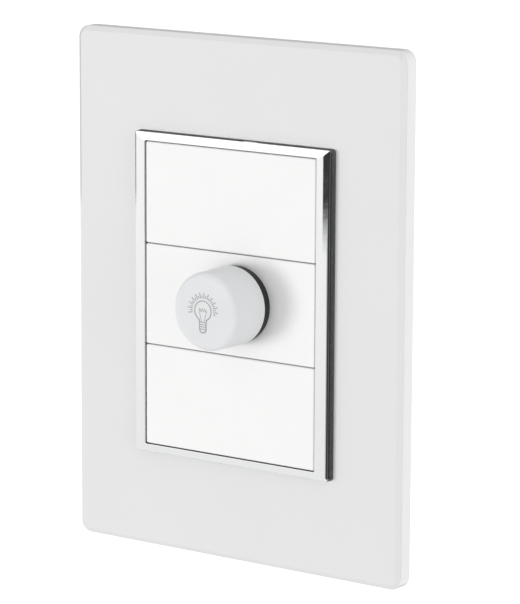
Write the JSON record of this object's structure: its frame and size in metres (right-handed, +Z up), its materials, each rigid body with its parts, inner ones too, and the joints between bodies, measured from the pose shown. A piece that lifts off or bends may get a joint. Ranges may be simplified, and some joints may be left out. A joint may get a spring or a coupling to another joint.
{
  "type": "rotary dimmer switch on a wall plate",
  "caption": "Wall dimmer: tall white glass plate, raised chrome frame, blank modules above and below a module with a round turning knob, and the dimmer's casing and circuit behind.",
  "frame": {"origin": "centre of the plate on the wall surface, which is the plane of the support frame's back face", "axes": "+X to the right seen from the room, +Y into the wall box, +Z up along the plate's long side"},
  "size_m": [0.086, 0.0502, 0.115],
  "materials": {
    "white_glass": "polished glass with a white lacquer",
    "chrome": "polished plating on plastic",
    "white_plastic": "smooth, semi-gloss",
    "knob_plastic": "satin",
    "print_grey": "pad-printed ink",
    "black_plastic": "satin",
    "grey_plastic": "moulded, fine texture",
    "steel": "zinc plated",
    "brass": "bright",
    "copper": "enamelled copper wire",
    "phenolic": "laminate",
    "circuit_board_green": "solder mask",
    "aluminium": "plain",
    "ferrite": "sintered",
    "capacitor_yellow": "moulded",
    "component_tan": "lacquered"
  },
  "bodies": {
    "root": {"glass_plate": "white_glass", "plate_chassis": "white_plastic", "bezel_frame": "chrome", "support_frame": "grey_plastic", "mounting_screw_top": "steel", "mounting_screw_bottom": "steel", "blank_insert_top": "white_plastic", "blank_insert_bottom": "white_plastic", "dimmer_front_cover": "white_plastic", "dimmer_housing": "grey_plastic", "housing_screw_left": "steel", "housing_screw_right": "steel", "knob_collar": "black_plastic", "threaded_bushing": "brass", "bushing_nut": "steel", "bushing_washer": "steel", "potentiometer_body": "steel", "track_wafer": "phenolic", "potentiometer_cap": "phenolic", "potentiometer_leg_left": "brass", "potentiometer_leg_middle": "brass", "potentiometer_leg_right": "brass", "off_switch": "black_plastic", "circuit_board": "circuit_board_green", "triac": "black_plastic", "heat_sink": "aluminium", "choke_core": "ferrite", "choke_winding": "copper", "capacitor": "capacitor_yellow", "fuse": "white_plastic", "resistor": "component_tan", "diac": "copper", "terminal_bar_line": "brass", "terminal_bar_load": "brass"},
    "knob_set": {"knob": "knob_plastic", "knob_spring_clip": "steel", "shaft": "steel", "wiper": "brass"},
    "line_screw": {"terminal_screw_line": "steel"},
    "line_cage": {"clamp_cage_line": "steel"},
    "load_screw": {"terminal_screw_load": "steel"},
    "load_cage": {"clamp_cage_load": "steel"}
  },
  "joints": [
    {"name": "knob_turn", "type": "hinge", "parent": "root", "child": "knob_set", "pos_m": [0.0025, -0.0166, 0.0005], "axis": [0, 1, 0], "range_deg": [-140, 140]},
    {"name": "line_cage_rise", "type": "slide", "parent": "root", "child": "line_cage", "axis": [0, 0, -1], "range_m": [0, 0.0024]},
    {"name": "line_screw_turn", "type": "hinge", "parent": "root", "child": "line_screw", "pos_m": [-0.016, 0.022, -0.005], "axis": [0, 0, 1], "range_deg": [0, 1446]},
    {"name": "load_cage_rise", "type": "slide", "parent": "root", "child": "load_cage", "axis": [0, 0, -1], "range_m": [0, 0.0024]},
    {"name": "load_screw_turn", "type": "hinge", "parent": "root", "child": "load_screw", "pos_m": [-0.0085, 0.022, -0.005], "axis": [0, 0, 1], "range_deg": [0, 1446]}
  ],
  "couplings": [
    {"joint": "line_screw_turn", "follows": "line_cage_rise", "rad_per_m": 10472},
    {"joint": "load_screw_turn", "follows": "load_cage_rise", "rad_per_m": 10472}
  ]
}
